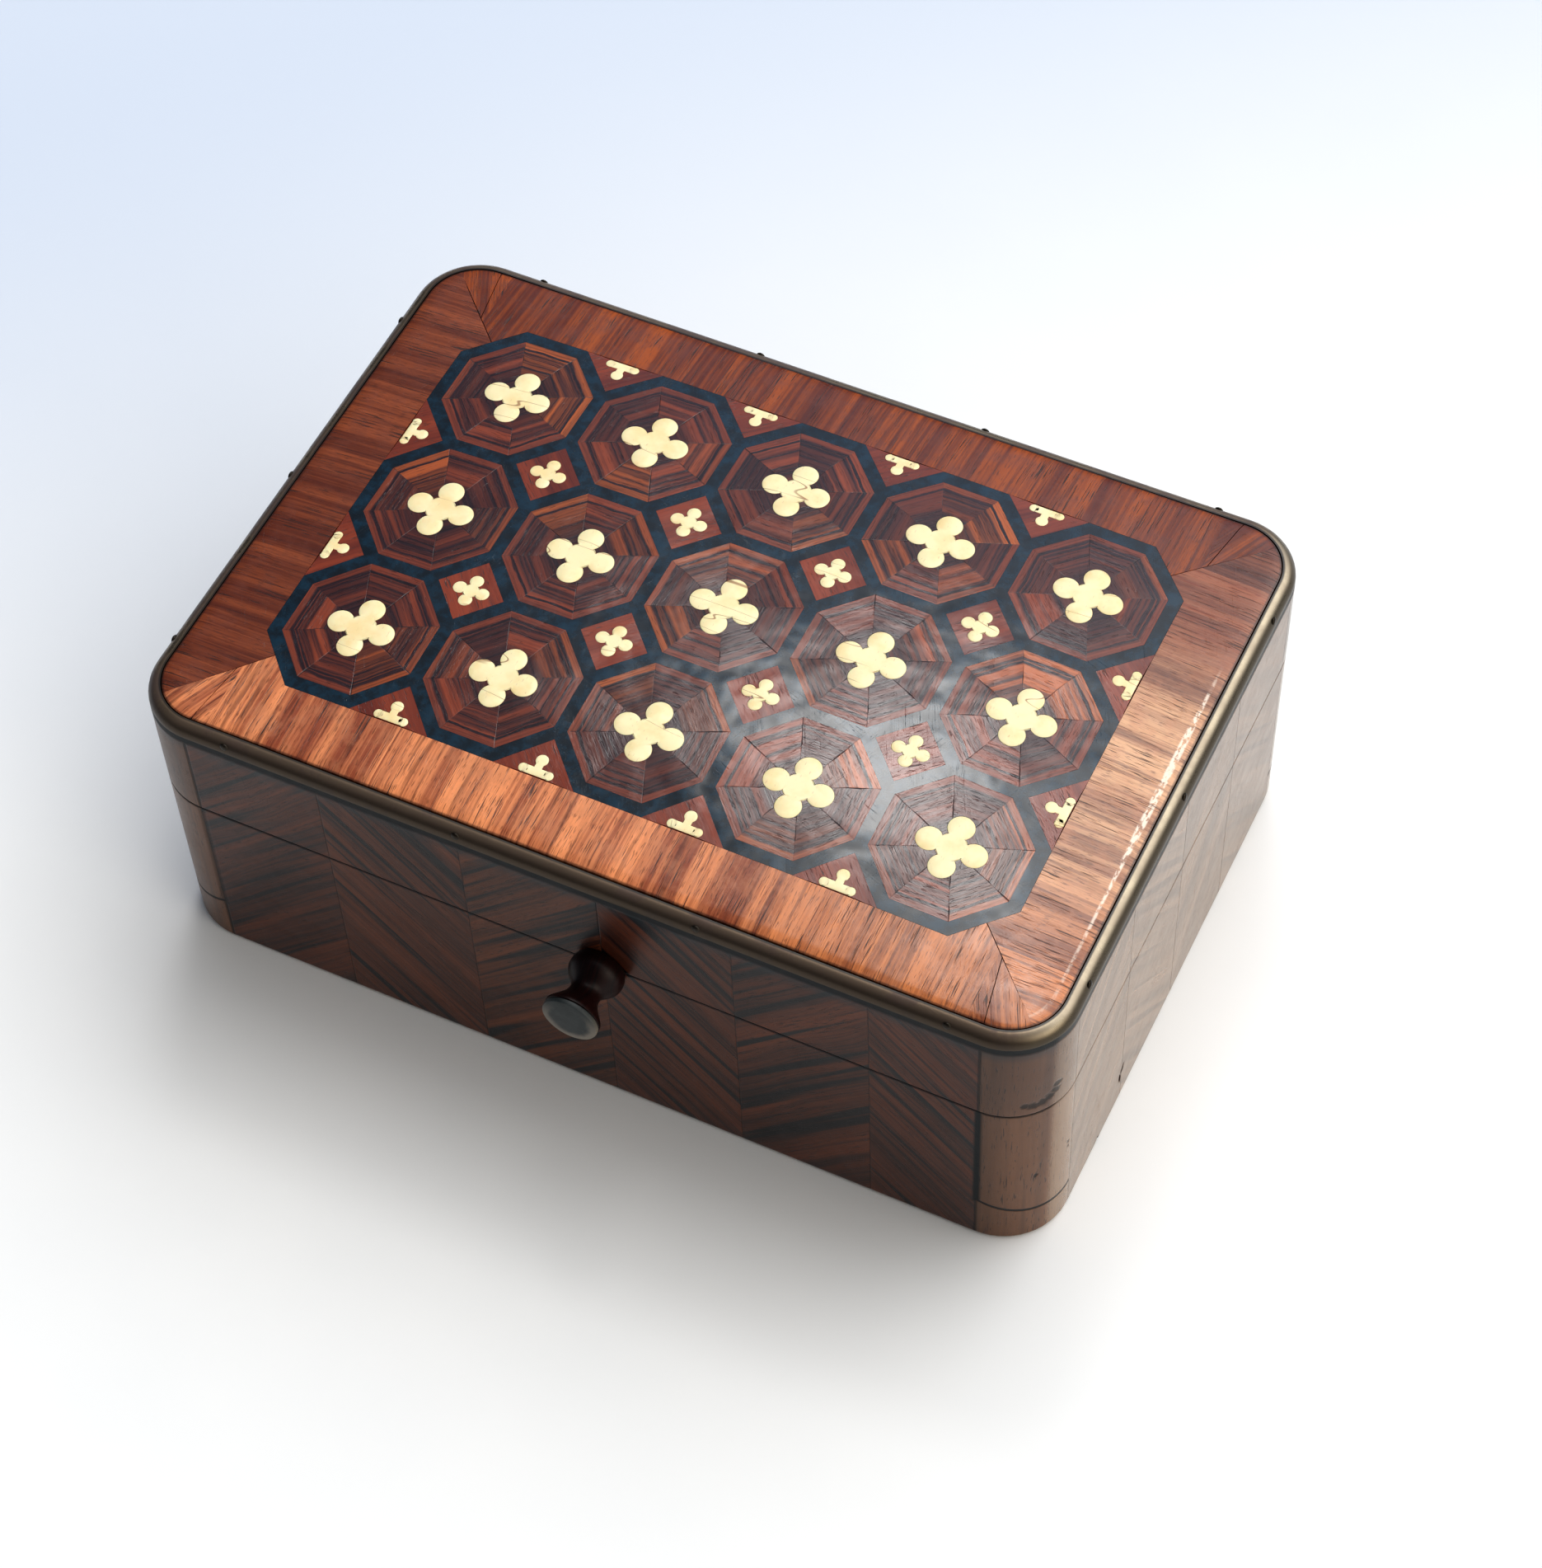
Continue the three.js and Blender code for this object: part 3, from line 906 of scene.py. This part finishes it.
PITCH_X = 16 * MM
PITCH_Y = 16.6 * MM
HALF_STRING = 0.7 * MM
EIGHTH = math.tan(math.pi / 8)
ROWS, COLUMNS = 3, 5


def middles(rows, columns):
    """Where a block of the pattern stands: its name and its middle, back row first, from the left."""
    for row in range(rows):
        for column in range(columns):
            x = (column - (columns - 1) / 2) * PITCH_X
            y = ((rows - 1) / 2 - row) * PITCH_Y
            yield f"r{row + 1}_c{column + 1}", x, y


def many_sided(name, sides, radius, turn, fill, size, bottom, top):
    put_down()
    bpy.ops.mesh.primitive_circle_add(
        vertices=sides, radius=radius, fill_type=fill, location=(0, 0, bottom), rotation=(0, 0, turn)
    )
    piece = start(name)
    with shaping(piece):
        whole()
        bpy.ops.transform.resize(value=(*size, 1), center_override=(0, 0, bottom))
        draw_up(top - bottom)
        whole()
        bpy.ops.mesh.normals_make_consistent(inside=False)
    return piece


def octagon(name, inset, bottom, top):
    """A block with eight sides, square to the box, drawn in from the pattern's lines."""
    size = (PITCH_X / 2 - inset, PITCH_Y / 2 - inset)
    return many_sided(name, 8, 1 / math.cos(math.pi / 8), math.pi / 8, "TRIFAN", size, bottom, top)


def diamond(name, inset, bottom, top, grown=0):
    """A block like the small square on its corner between four octagons."""
    shift = inset * math.sqrt(2) - grown
    size = ((1 - EIGHTH) * PITCH_X / 2 - shift, (1 - EIGHTH) * PITCH_Y / 2 - shift)
    return many_sided(name, 4, 1, 0, "NGON", size, bottom, top)


def half_places():
    """Where the half squares stand along the border: name, middle of the base, and quarter turns."""
    for i in range(COLUMNS - 1):
        x = (i - (COLUMNS - 2) / 2) * PITCH_X
        yield f"front_{i + 1}", x, -FIELD_Y, 0
        yield f"back_{i + 1}", x, FIELD_Y, 2
    for i in range(ROWS - 1):
        y = (i - (ROWS - 2) / 2) * PITCH_Y
        yield f"right_{i + 1}", FIELD_X, y, 1
        yield f"left_{i + 1}", -FIELD_X, y, 3


def moved(piece, x, y):
    piece.data.transform(Matrix.Translation((x, y, 0)))
    return piece


def let_in(piece, slot, solid, look, raised=0):
    """Presses a piece of the inlay over the crown and finishes it."""
    press(piece, raised)
    smooth(piece)
    fit(piece, slot, solid, look)


through = (-2 * VENEER, VENEER)
tools = (
    (octagon("octagon_tool", HALF_STRING, *through), middles(ROWS, COLUMNS)),
    (diamond("diamond_tool", HALF_STRING, *through), middles(ROWS - 1, COLUMNS - 1)),
    (diamond("half_tool", HALF_STRING, *through, grown=HALF_STRING), half_places()),
)
holes = [moved(copy_of(tool, "hole"), *place[1:3]) for tool, places in tools for place in places]
put_away(*[tool for tool, _ in tools])
net = field_block("ebony_net", -SEAM)
cut_away(net, join(holes, "holes"))
with shaping(net):
    score()


def ebony_look():
    """Ebony: close and nearly black, blue where it has faded."""
    look = finish("ebony", Specular_IOR_Level=0.5)
    spot = millimetres()
    polish = placed(old_polish, spot)
    faded = fade(noise(spot, 0.6, 4, 0.65), 0.35, 0.7)
    show("Base Color", mixed(faded, 0x03121C, 0x0B2E40))
    show("Roughness", polish["Dull"] * 0.15 + 0.06)
    relief(polish["Height"], 0.12)
    return look


let_in(net, "stringing", "ebony_stringing", ebony_look())

# The bone quatrefoils
# Four round lobes on a round heart, sawn from one thin plate of bone and let into the middle of an
# octagon. They stand a hair above the wood, which has shrunk round them.

LOBE_RADIUS = 1.36 * MM
LOBE_DISTANCE = 2.32 * MM
HEART_RADIUS = 1.6 * MM
BONE_PROUD = 0.02 * MM
FOIL_EASE = 0.09 * MM
SMALL_STEP = 1.5 * MM


def round_block(name, x, y, radius, bottom, top):
    put_down()
    bpy.ops.mesh.primitive_cylinder_add(
        vertices=36, radius=radius, depth=top - bottom, location=(x, y, (bottom + top) / 2)
    )
    return start(name)


def quatrefoil(name, scale, grown, bottom, top):
    """Four lobes joined to a heart."""
    heart = round_block(name, 0, 0, HEART_RADIUS * scale + grown, bottom, top)
    away = LOBE_DISTANCE * scale
    for x, y in ((away, 0), (0, away), (-away, 0), (0, -away)):
        cut_away(heart, round_block("lobe", x, y, LOBE_RADIUS * scale + grown, bottom, top), "UNION")
    return heart


def eased(piece, width):
    """Takes the sharpness off a piece's upper edge."""
    with shaping(piece):
        top = max(v.co.z for v in bmesh.from_edit_mesh(piece.data).verts)

        def upper(e):
            at_top = all(abs(v.co.z - top) < HAIR for v in e.verts)
            return at_top and any(abs(f.normal.z) < 0.5 for f in e.link_faces)

        soften(upper, width)


pattern_foil = quatrefoil("pattern_foil", 1, 0, -VENEER, 0)
eased(pattern_foil, FOIL_EASE)
with shaping(pattern_foil):
    score(SMALL_STEP)


def inlay_bone():
    """Bone: cream, yellower in clouds, with short dark canals and fine cracks."""
    look = finish(
        "inlay_bone", Specular_IOR_Level=0.5, Subsurface_Weight=0.15, Subsurface_Scale=0.0006
    )
    spot = millimetres()
    polish = placed(old_polish, spot)
    cloud = fade(noise(spot, 0.35, 3, 0.6), 0.42, 0.72)
    canal = fade(noise(stretched(spot, 6, 1.4, 1), 1, 1), 0.7, 0.76)
    run = noise(stretched(spot, 0.05, 0.32, 0.05), 1, 1)
    crack = fade(abs(run - 0.5), 0.001, 0.005, 0.75, 0) * fade(noise(spot, 0.09, 1), 0.5, 0.56)
    colour = mixed(cloud * 0.55, 0xF4E6B8, 0xEBCB8A)
    show("Base Color", mixed(worked("MAXIMUM", canal * 0.25, crack), colour, 0x8A5A38))
    show("Roughness", polish["Dull"] * 0.3 + 0.25)
    relief(polish["Height"] - crack * 0.2, 0.1)
    return look


bone_look = inlay_bone()
for name, x, y in middles(ROWS, COLUMNS):
    foil = moved(copy_of(pattern_foil, f"bone_quatrefoil_{name}"), x, y)
    let_in(foil, "bone", f"quatrefoil_{name}", bone_look, BONE_PROUD)
put_away(pattern_foil)

# The octagons
# Each is made of eight wedges of striped rosewood, sawn so that the stripes run round it in rings. The
# wedges never quite match, and the mitres between them have opened here and there.

WEDGE_APART = 20


def wedge_grain(number):
    """The veneer's place on each wedge: along its outer side, and out from the middle of the octagon."""

    def grain(centre, co):
        squeeze = PITCH_X / PITCH_Y
        wedge = round(math.atan2(centre.y * squeeze, centre.x) / (math.pi / 4)) % 8
        turn = wedge * math.pi / 4
        apart = WEDGE_APART * (8 * number + wedge)
        x, y = co.x, co.y * squeeze
        return y * math.cos(turn) - x * math.sin(turn) + apart, x * math.cos(turn) + y * math.sin(turn)

    return grain


pattern_octagon = octagon("pattern_octagon", HALF_STRING + SEAM, -VENEER, 0)
cut_away(pattern_octagon, quatrefoil("foil_hole", 1, SEAM, *through))
with shaping(pattern_octagon):
    score()


def ringed_rosewood():
    """Eight wedges, each with its own dark and red stripes, a red rim all round and dark mitres between."""
    look = finish("ringed_rosewood", Specular_IOR_Level=0.5)
    side, out, wedge = grain_place(WEDGE_APART)
    figure = placed(veneer_figure, joined(out * 1.5, side, wedge))
    polish = placed(old_polish, millimetres())
    ragged = noise(joined(side * 0.35, out, wedge), 1, 3)
    place = out + (ragged - 0.5) * 0.5
    own = wedge * 3.17
    level_side = side * 0.03
    bars = fade(noise(joined(place * 0.85, level_side, own), 1, 1), 0.46, 0.62)
    octagon_number = worked("FLOOR", (wedge + 0.5) / 8)
    thin = fade(noise(joined(place * 2.6, level_side, octagon_number), 1, 2), 0.4, 0.58)
    share = (bars * 0.55 + thin * 0.35) * (figure["Tone"] * 1.1 + 0.35)
    share = share * fade(place, 3, 4, 0.3, 1) * fade(abs(place - 6.4), 0.1, 0.2)
    rim_share = fade(place, 6.58, 6.7) * (figure["Line"] * 0.6 + 0.3)
    share = worked("MAXIMUM", share, rim_share)
    glow = lay("TexWhiteNoise", None, wedge + 0.37, noise_dimensions="1D")
    red = mixed(fade(glow, 0.6, 1), 0x86402A, 0xB4602F)
    dark = mixed(figure["Line"], 0x150C14, 0x361E22)
    colour = mixed(clamped(share), dark, red)
    edge = out * EIGHTH - abs(side)
    gaping = noise(joined(out * 0.5, own, 0), 1, 2)
    reach = fade(gaping, 0.45, 0.7, 0.025, 0.09)
    mitre = clamped(1.2 - edge / reach) * fade(gaping, 0.46, 0.62, 0.15, 0.9)
    colour = mixed(figure["Pore"] * 0.6, colour, 0x120B0F)
    show("Base Color", mixed(mitre, colour, 0x0D0B10))
    show("Roughness", mitre * 0.3 + polish["Dull"] * 0.15 + 0.06)
    height = thin * 0.012 + figure["Height"] * 0.1 + polish["Height"]
    relief(height - mitre * 0.2, 0.12)
    return look


octagon_look = ringed_rosewood()
for number, (name, x, y) in enumerate(middles(ROWS, COLUMNS)):
    tile = copy_of(pattern_octagon, f"rosewood_octagon_{name}")
    lay_grain(tile, wedge_grain(number))
    let_in(moved(tile, x, y), "marquetry_wood", f"octagon_{name}", octagon_look)
put_away(pattern_octagon)

# The small squares
# Red-brown wood standing on its corners between the octagons, each with a small bone cross like the
# large ones. Along the border only half of each is used, with a bone bar and one lobe on its long side.

SMALL_SCALE = 0.54
CROSS_EASE = 0.07 * MM


def plain_grain(number):
    """The veneer's place on a plain piece: its grain runs slantwise."""
    lean = Matrix.Rotation(math.radians(45 if number % 2 else -45), 3, "Z")

    def grain(centre, co):
        there = lean @ co
        return there.x + PIECE_APART * (number + 1), there.y

    return grain


def small_square_wood():
    """Polished red-brown veneer, every piece a little different."""
    look = finish("small_square_wood", Specular_IOR_Level=0.5)
    figure = placed(veneer_figure, joined(*grain_place(PIECE_APART)))
    polish = placed(old_polish, millimetres())
    share = figure["Streak"] * 0.6 + figure["Line"] * 0.4 + (figure["Tone"] - 0.5) * 0.3
    colour = mixed(clamped(share), 0x5A241C, 0x8E4027)
    show("Base Color", mixed(figure["Pore"] * 0.75, colour, 0x24120E))
    show("Roughness", figure["Pore"] * 0.2 + polish["Dull"] * 0.15 + 0.06)
    relief(figure["Height"] * 0.1 + polish["Height"], 0.12)
    return look


square_look = small_square_wood()
pattern_square = diamond("pattern_square", HALF_STRING + SEAM, -VENEER, 0)
cut_away(pattern_square, quatrefoil("cross_hole", SMALL_SCALE, SEAM, *through))
pattern_cross = quatrefoil("pattern_cross", SMALL_SCALE, 0, -VENEER, 0)
eased(pattern_cross, CROSS_EASE)
for piece in (pattern_square, pattern_cross):
    with shaping(piece):
        score(SMALL_STEP)
for number, (name, x, y) in enumerate(middles(ROWS - 1, COLUMNS - 1)):
    square = copy_of(pattern_square, f"small_square_{name}")
    lay_grain(square, plain_grain(number))
    let_in(moved(square, x, y), "marquetry_wood", f"square_{name}", square_look)
    cross = moved(copy_of(pattern_cross, f"bone_cross_{name}"), x, y)
    let_in(cross, "bone", f"small_cross_{name}", bone_look, BONE_PROUD)
put_away(pattern_square, pattern_cross)

BAR_HALF_LENGTH = 1.38 * MM
BAR_HALF_WIDTH = 0.46 * MM
BAR_END = 0.5 * MM
BAR_MIDDLE = 0.6 * MM
STEM_HALF_WIDTH = 0.42 * MM
STEM_LOBE = 0.66 * MM
STEM_REACH = 1.95 * MM


def half_cross(name, grown, bottom, top):
    """A straight bar with rounded ends along the border, and a lobe on a short stem."""
    low, high = BAR_MIDDLE - BAR_HALF_WIDTH - grown, BAR_MIDDLE + BAR_HALF_WIDTH + grown
    bar = oblong(name, BAR_HALF_LENGTH, low, high, bottom, top)
    stem = oblong("stem", STEM_HALF_WIDTH + grown, BAR_MIDDLE, STEM_REACH, bottom, top)
    cut_away(bar, stem, "UNION")
    cut_away(bar, round_block("lobe", 0, STEM_REACH, STEM_LOBE + grown, bottom, top), "UNION")
    for x in (-BAR_HALF_LENGTH, BAR_HALF_LENGTH):
        cut_away(bar, round_block("bar_end", x, BAR_MIDDLE, BAR_END + grown, bottom, top), "UNION")
    return bar


half_patterns = []
for quarter in (0, 1):
    turned = Matrix.Rotation(quarter * math.pi / 2, 4, "Z")
    out = turned.to_3x3() @ Vector((0, -1, 0))
    square = diamond(f"half_square_{quarter}", HALF_STRING + SEAM, -VENEER, 0, grown=HALF_STRING)
    hole = half_cross("half_hole", SEAM, *through)
    cross = half_cross(f"half_cross_{quarter}", 0, -VENEER, 0)
    for piece in (hole, cross):
        piece.data.transform(turned)
    cut_away(square, hole)
    with shaping(square):
        saw_off(out * -SEAM, out)
    eased(cross, CROSS_EASE)
    for piece in (square, cross):
        with shaping(piece):
            score(SMALL_STEP)
    half_patterns.append((square, cross))
for number, (name, x, y, turn) in enumerate(half_places()):
    square, cross = half_patterns[turn % 2]
    over = Matrix.Rotation(math.pi * (turn // 2), 4, "Z")
    wood = copy_of(square, f"half_square_{name}")
    bone = copy_of(cross, f"bone_half_cross_{name}")
    for piece in (wood, bone):
        piece.data.transform(over)
    lay_grain(wood, plain_grain(number + 20))
    let_in(moved(wood, x, y), "marquetry_wood", None, square_look)
    let_in(moved(bone, x, y), "bone", None, bone_look, BONE_PROUD)
for pair in half_patterns:
    put_away(*pair)

# The knob
# A bulb, a waist and a flared head turned from one piece of dark wood, fixed to the front of the lid
# over the joint. A plate of bone closes its end.

KNOB_X = 2.7 * MM
KNOB_PROFILE = (
    (0, 0), (2.45, 0), (2.6, 0.1), (2.66, 0.3), (2.84, 0.65), (2.9, 1.1), (2.88, 1.55),
    (2.7, 2.0), (2.36, 2.45), (1.96, 2.85), (1.68, 3.2), (1.6, 3.6), (1.64, 4.05), (1.84, 4.55),
    (2.2, 5.1), (2.62, 5.65), (2.9, 6.0), (3.0, 6.2), (3.0, 6.44), (2.94, 6.5), (0, 6.5),
)
DISC_PROFILE = ((0, 6.505), (2.86, 6.505), (2.96, 6.6), (2.97, 6.85), (2.9, 7.02), (2.7, 7.09), (0, 7.095))
TURNED_STEPS = 48


def turned_piece(name, profile):
    """Spins a profile of radii and distances out from the front about the line of the knob."""
    front = Vector((KNOB_X, -WIDTH / 2, SPLIT_HEIGHT))
    put_down()
    bpy.ops.mesh.primitive_plane_add(size=MM, location=front)
    piece = start(name)
    with shaping(piece):
        bpy.ops.mesh.select_mode(type="VERT")
        whole()
        bpy.ops.mesh.merge(type="CENTER")
        bpy.ops.transform.translate(value=(0, -profile[0][1] * MM, 0))
        for (r0, d0), (r1, d1) in zip(profile, profile[1:]):
            step = (0, (d0 - d1) * MM, (r1 - r0) * MM)
            bpy.ops.mesh.extrude_region_move(TRANSFORM_OT_translate={"value": step})
        whole()
        bpy.ops.mesh.spin(steps=TURNED_STEPS, angle=2 * math.pi, center=front, axis=(0, 1, 0))
        whole()
        bpy.ops.mesh.remove_doubles(threshold=0.001 * MM)
        bpy.ops.mesh.normals_make_consistent(inside=False)
    smooth(piece, 40)
    return piece


def turned_wood_look():
    """Dark turned wood, almost black, with a red-brown light in it."""
    look = finish("turned_wood", Specular_IOR_Level=0.2)
    spot = millimetres()
    polish = placed(old_polish, spot)
    figure = placed(veneer_figure, stretched(spot, 1, 1, 0.02))
    show("Base Color", mixed(figure["Line"], 0x060304, 0x240B08))
    show("Roughness", polish["Dull"] * 0.3 + 0.25)
    relief(polish["Height"], 0.05)
    return look


def plate_look():
    """Bone dark and grey, painted as in shade over its upper part, with a paler lower rim painted as lit."""
    look = finish("plate_bone", Specular_IOR_Level=0.4)
    spot = millimetres()
    x, _, z = split(spot)
    polish = placed(old_polish, spot)
    aside = x - KNOB_X / MM
    below = SPLIT_HEIGHT / MM - z
    out = lay("VectorMath", joined(aside, below, 0), operation="LENGTH", give="Value")
    cloud = noise(spot, 0.8, 3, 0.6)
    # Painted shade and light: dark teal-grey over the upper part as shade, a paler lower rim as lit
    lit_rim = fade(cloud * 0.8 + out, 2.2, 3) * fade(below, -2.4, 1)
    colour = mixed(cloud, 0x12191C, 0x343A3A)
    show("Base Color", mixed(lit_rim, colour, 0x736C62))
    show("Roughness", polish["Dull"] * 0.3 + 0.35)
    relief(polish["Height"], 0.08)
    return look


knob = turned_piece("turned_knob", KNOB_PROFILE)
fit(knob, "knob_wood", "knob", turned_wood_look())
disc = turned_piece("knob_plate", DISC_PROFILE)
fit(disc, "bone", "knob_disc", plate_look())

# The table, the light and the camera
# A plain pale table, a broad soft light from the right and behind, a dim front, and the photograph's view.

put_down()
bpy.ops.mesh.primitive_plane_add(size=6, location=(0, 0, 0))
table = start("table")
table_look = finish("pale_table", Specular_IOR_Level=0.2, Roughness=0.6)
spot = millimetres()
table_x, table_y, _ = split(spot)
# Painted cool light: the table is tinted blue-grey towards the back left
far_left = fade(table_y - table_x, 20, 200)
paper = mixed(noise(spot, 0.05, 3), 0xEFF1F2, 0xF5F6F6)
show("Base Color", mixed(far_left, paper, 0xCFD9E8))
table.data.materials.append(table_look)

room = bpy.context.scene
camera = bpy.data.objects.new("camera", bpy.data.cameras.new("camera"))
room.collection.objects.link(camera)
camera.location = (0.11270563, -0.20429215, 0.33241474)
camera.rotation_mode = "QUATERNION"
camera.rotation_quaternion = (0.92904795, 0.29603709, 0.08180356, 0.20625258)
camera.data.lens = 86.966
camera.data.sensor_width = 36
camera.data.clip_start = 0.01
bpy.context.scene.camera = camera
room.view_settings.view_transform = "Standard"
room.view_settings.look = "Medium High Contrast"
room.view_settings.exposure = 0.05


def towards(azimuth, height):
    """A direction, from degrees round from the back towards the right and degrees up."""
    a, e = math.radians(azimuth), math.radians(height)
    return Vector((math.sin(a) * math.cos(e), math.cos(a) * math.cos(e), math.sin(e)))


# Soft glows of the room: degrees round, degrees up, how wide in radians, how bright and what colour
GLOWS = (
    (34, 50, 0.35, 3.0, (1, 0.99, 0.97)),
    (105, 24, 0.3, 2.7, (1, 0.92, 0.78)),
    (-10, 38, 0.26, 0.7, (0.45, 0.6, 0.9)),
)
world = bpy.data.worlds.new("room")
room.world = world
world.use_nodes = True
take_up(world.node_tree)
facing = lay("TexCoord", give="Generated")
light = (0.078, 0.09, 0.115)
for azimuth, height, width, strength, colour in GLOWS:
    near = lay("VectorMath", facing, towards(azimuth, height), operation="DOT_PRODUCT", give="Value")
    fall = worked("EXPONENT", (near - 1) * (1 / width ** 2))
    glow = lay("VectorMath", [c * strength for c in colour], None, None, fall, operation="SCALE")
    light = lay("VectorMath", light, glow, operation="ADD")
feed(world.node_tree.nodes["Background"].inputs["Color"], light)


def soft_panel(name, azimuth, height, size, watts):
    """A soft oblong of light that faces the box from one direction."""
    panel = bpy.data.lights.new(name, "AREA")
    panel.shape = "RECTANGLE"
    panel.size, panel.size_y = size
    panel.energy = watts
    panel.color = (1, 0.98, 0.95)
    lamp = bpy.data.objects.new(name, panel)
    lamp.location = towards(azimuth, height) * 1.6
    lamp.rotation_euler = towards(azimuth, height).to_track_quat("Z", "Y").to_euler()
    room.collection.objects.link(lamp)


# The window shows again in the polish of the lid, inside the paler light of the wall round it
soft_panel("window", -21.5, 59.5, (0.26, 0.24), 1.65)
soft_panel("wall", -6, 70, (0.68, 0.76), 3.5)
